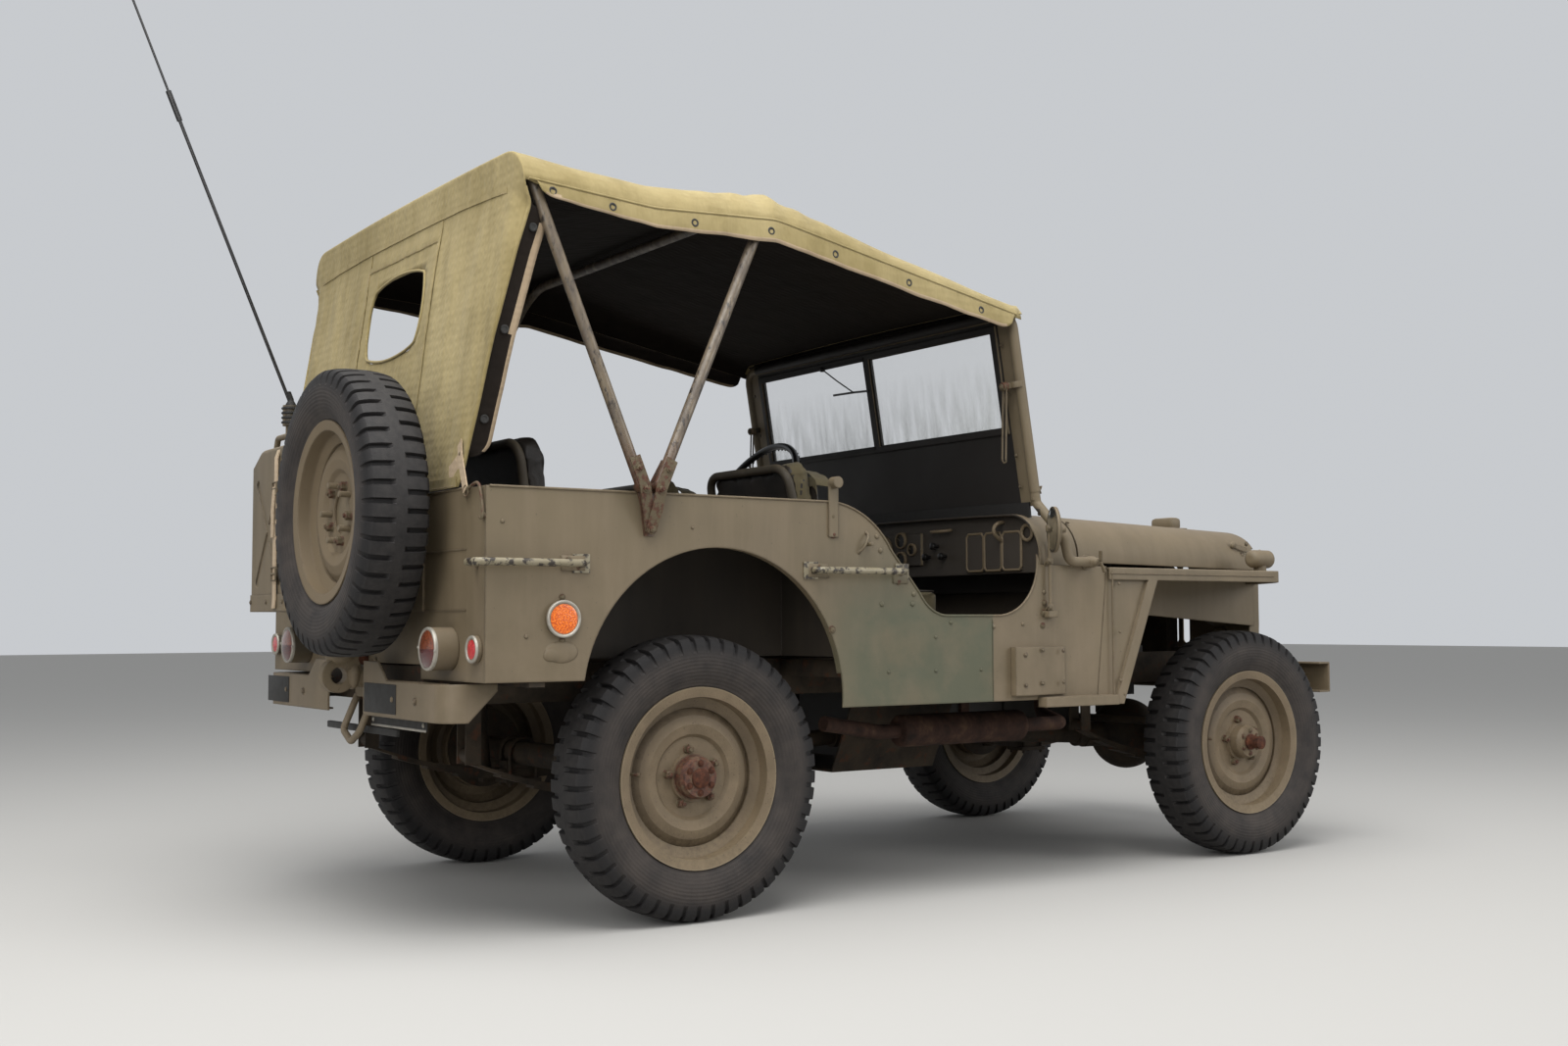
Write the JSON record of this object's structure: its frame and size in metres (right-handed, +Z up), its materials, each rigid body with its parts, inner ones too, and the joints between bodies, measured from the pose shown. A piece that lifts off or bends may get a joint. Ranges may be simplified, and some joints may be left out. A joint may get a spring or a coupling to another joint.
{
  "type": "army four-wheel-drive utility car",
  "caption": "Open four-wheel-drive army car with folding canvas top, flat hood and wings, slotted grille, spare wheel and fuel can on the tail",
  "frame": {"origin": "on the ground under the middle of the whole outline, aerial included", "axes": "+Z up, the car faces -Y, its right-hand side is -X"},
  "size_m": [1.699, 3.7903, 3.1191],
  "materials": {
    "olive_paint": "matt olive drab, sun-faded and dusty",
    "chassis_paint": "dark matt paint with road dirt",
    "cast_iron": "oily grey cast metal",
    "rusty_pipe": "brown rust",
    "tyre_rubber": "black rubber, dusty",
    "top_canvas": "faded khaki cotton canvas",
    "seat_canvas": "dark canvas and coated cloth",
    "screen_glass": "clear, dusty",
    "lamp_housing": "matt olive",
    "black_plastic": "matt black"
  },
  "bodies": {
    "car": {"aerial_base": "olive_paint", "aerial_rod": "black_plastic", "body_fittings": "olive_paint", "can_carrier": "olive_paint", "canvas_top": "top_canvas", "cowl": "olive_paint", "driving_controls": "olive_paint", "engine_block": "cast_iron", "exhaust": "rusty_pipe", "floor_pan": "olive_paint", "frame": "chassis_paint", "front_axle": "chassis_paint", "front_bumper": "olive_paint", "front_fender_left": "olive_paint", "front_fender_right": "olive_paint", "front_seat_cushions": "seat_canvas", "front_seat_frames": "olive_paint", "fuel_tank": "olive_paint", "gearbox": "cast_iron", "grab_handles": "olive_paint", "grille": "olive_paint", "headlamps": "lamp_housing", "jerry_can": "olive_paint", "leaf_springs": "chassis_paint", "mirrors": "olive_paint", "number_plate": "black_plastic", "propeller_shafts": "chassis_paint", "radiator": "olive_paint", "rear_axle": "chassis_paint", "rear_bumperettes": "olive_paint", "rear_lamps": "lamp_housing", "rear_panel": "olive_paint", "rear_seat_cushions": "seat_canvas", "rear_seat_frame": "olive_paint", "shock_absorbers": "chassis_paint", "side_panel_left": "olive_paint", "side_panel_right": "olive_paint", "spare_carrier": "olive_paint", "spare_tyre": "tyre_rubber", "spare_wheel": "olive_paint", "top_bows": "olive_paint", "towing_gear": "chassis_paint", "windscreen_frame": "olive_paint", "windscreen_glass": "screen_glass", "wing_lamps": "olive_paint"},
    "knuckle_right": {"knuckle_right": "chassis_paint"},
    "knuckle_left": {"knuckle_left": "chassis_paint"},
    "tie_rod": {"tie_rod": "chassis_paint"},
    "steering_wheel": {"steering_wheel": "black_plastic"},
    "hood": {"hood": "olive_paint"},
    "wheel_rear_right": {"wheel_rear_right": "olive_paint", "tyre_rear_right": "tyre_rubber"},
    "wheel_rear_left": {"wheel_rear_left": "olive_paint", "tyre_rear_left": "tyre_rubber"},
    "wheel_front_right": {"wheel_front_right": "olive_paint", "tyre_front_right": "tyre_rubber"},
    "wheel_front_left": {"wheel_front_left": "olive_paint", "tyre_front_left": "tyre_rubber"}
  },
  "joints": [
    {"name": "hood_hinge", "type": "hinge", "parent": "car", "child": "hood", "pos_m": [0, -0.7095, 1.066], "axis": [-1, 0, 0], "range_deg": [0, 105]},
    {"name": "knuckle_right_steer", "type": "hinge", "parent": "car", "child": "knuckle_right", "pos_m": [-0.548, -1.407, 0.35], "axis": [0, 0, 1], "range_deg": [-25, 25]},
    {"name": "knuckle_left_steer", "type": "hinge", "parent": "car", "child": "knuckle_left", "pos_m": [0.548, -1.407, 0.35], "axis": [0, 0, 1], "range_deg": [-25, 25]},
    {"name": "tie_rod_pivot", "type": "hinge", "parent": "knuckle_right", "child": "tie_rod", "pos_m": [-0.548, -1.257, 0.408], "axis": [0, 0, 1], "range_deg": [-26, 26]},
    {"name": "steering_wheel_turn", "type": "hinge", "parent": "car", "child": "steering_wheel", "pos_m": [0.33, -0.19, 1.13], "axis": [0, 0.857, 0.5153], "range_deg": [-355, 355]},
    {"name": "wheel_rear_right_spin", "type": "hinge", "parent": "car", "child": "wheel_rear_right", "pos_m": [-0.6225, 0.625, 0.35], "axis": [1, 0, 0], "continuous": true},
    {"name": "wheel_rear_left_spin", "type": "hinge", "parent": "car", "child": "wheel_rear_left", "pos_m": [0.6225, 0.625, 0.35], "axis": [1, 0, 0], "continuous": true},
    {"name": "wheel_front_right_spin", "type": "hinge", "parent": "knuckle_right", "child": "wheel_front_right", "pos_m": [-0.6225, -1.407, 0.35], "axis": [1, 0, 0], "continuous": true},
    {"name": "wheel_front_left_spin", "type": "hinge", "parent": "knuckle_left", "child": "wheel_front_left", "pos_m": [0.6225, -1.407, 0.35], "axis": [1, 0, 0], "continuous": true}
  ],
  "couplings": [
    {"joint": "knuckle_left_steer", "follows": "knuckle_right_steer", "ratio": 1},
    {"joint": "tie_rod_pivot", "follows": "knuckle_right_steer", "ratio": -1},
    {"joint": "steering_wheel_turn", "follows": "knuckle_right_steer", "ratio": 14}
  ]
}
